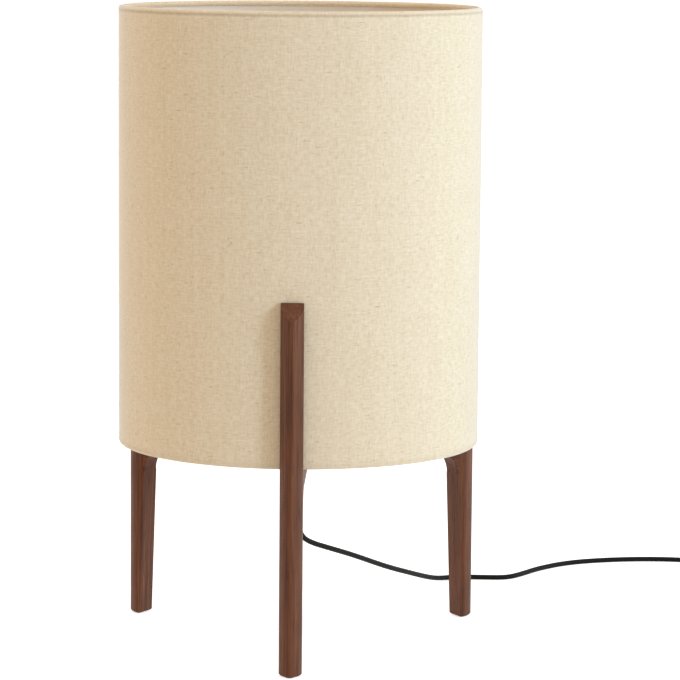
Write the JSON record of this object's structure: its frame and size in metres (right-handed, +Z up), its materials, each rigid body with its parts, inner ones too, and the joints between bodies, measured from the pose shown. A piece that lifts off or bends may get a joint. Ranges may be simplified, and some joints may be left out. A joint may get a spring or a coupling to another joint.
{
  "type": "table lamp",
  "caption": "Table lamp: a tall linen drum shade sits between slender wooden uprights that are also its legs, on arms from a central hub, with a screw-in bulb, cord switch and plug",
  "frame": {"origin": "middle of the lamp's footprint box, without its cord, on the surface that the lamp stands on", "axes": "+Z is up; -Y is the way the front leg points, seen from the lamp's own upright axis; +X is the side on which the cord runs off"},
  "size_m": [0.5777, 0.5064, 0.5283],
  "materials": {
    "walnut_stained_wood": "walnut stain under a satin clear coat",
    "dowel_wood": "bare beech",
    "glide_plastic": "moulded",
    "zinc_steel": "zinc plated",
    "cord_sheath": "smooth black sheath",
    "core_brown": "smooth",
    "core_blue": "smooth",
    "holder_plastic": "moulded",
    "holder_ceramic": "unglazed ceramic",
    "brass": "stamped and turned",
    "bulb_black": "vitreous black",
    "bulb_metal": "rolled",
    "bulb_housing_white": "moulded",
    "bulb_opal": "frosted opal",
    "board_metal": "white solder mask",
    "led_yellow": "phosphor resin",
    "board_green": "glass fibre laminate",
    "capacitor_dark": "sleeved",
    "shade_linen": "plain-woven natural linen",
    "shade_liner": "smooth backing film",
    "shade_wire": "white coated wire",
    "tie_fabric": "woven hook and loop",
    "switch_plastic": "moulded",
    "rocker_plastic": "moulded",
    "pin_metal": "nickel plated"
  },
  "bodies": {
    "frame": {"arm_front": "walnut_stained_wood", "arm_left": "walnut_stained_wood", "arm_right": "walnut_stained_wood", "cord_coil": "cord_sheath", "cord_free": "cord_sheath", "cord_relief": "cord_sheath", "cord_sheath_end": "cord_sheath", "cord_tie": "tie_fabric", "core_live": "core_brown", "core_neutral": "core_blue", "glide_front": "glide_plastic", "glide_left": "glide_plastic", "glide_right": "glide_plastic", "holder_cap": "holder_plastic", "holder_insert": "holder_ceramic", "holder_side_contact": "brass", "holder_skirt": "holder_plastic", "holder_sleeve": "brass", "holder_tongue": "brass", "hub_block": "walnut_stained_wood", "hub_dowels": "dowel_wood", "hub_plate": "zinc_steel", "nipple": "zinc_steel", "nut_lower": "zinc_steel", "nut_upper": "zinc_steel", "plate_screws": "zinc_steel", "plug_body": "switch_plastic", "plug_pins": "pin_metal", "plug_relief": "switch_plastic", "plug_sleeves": "switch_plastic", "post_dowels": "dowel_wood", "post_front": "walnut_stained_wood", "post_left": "walnut_stained_wood", "post_right": "walnut_stained_wood", "switch_base": "switch_plastic", "switch_contacts": "brass", "switch_cores": "core_blue", "switch_cover": "switch_plastic", "switch_rocker_pin": "zinc_steel", "switch_screws": "zinc_steel", "switch_spring": "brass", "terminal_screws": "brass", "terminals": "brass", "washer_lower": "zinc_steel", "washer_upper": "zinc_steel"},
    "shade": {"shade_linen": "shade_linen", "shade_liner": "shade_liner", "shade_ring_top": "shade_wire", "shade_ring_bottom": "shade_wire"},
    "bulb_carrier": {"bulb_contact": "brass", "bulb_insulator": "bulb_black"},
    "bulb": {"bulb_cap": "bulb_metal", "bulb_housing": "bulb_housing_white", "bulb_globe": "bulb_opal", "led_board": "board_metal", "led_chips": "led_yellow", "driver_boards": "board_green", "driver_capacitor": "capacitor_dark"},
    "switch_rocker": {"switch_rocker": "rocker_plastic"}
  },
  "joints": [
    {"name": "shade_lift", "type": "slide", "parent": "frame", "child": "shade", "axis": [0, 0, 1], "range_m": [0, 0.145]},
    {"name": "bulb_rise", "type": "slide", "parent": "frame", "child": "bulb_carrier", "axis": [0, 0, 1], "range_m": [0, 0.0165]},
    {"name": "bulb_turn", "type": "hinge", "parent": "bulb_carrier", "child": "bulb", "pos_m": [0, 0.0105, 0.2046], "axis": [0, 0, 1], "range_deg": [0, 1620]},
    {"name": "rocker_tilt", "type": "hinge", "parent": "frame", "child": "switch_rocker", "pos_m": [0.41, 0.232, 0.0121], "axis": [-1, 0, 0], "range_deg": [0, 16]}
  ],
  "couplings": [
    {"joint": "bulb_rise", "follows": "bulb_turn", "m_per_rad": 0.00057757}
  ]
}
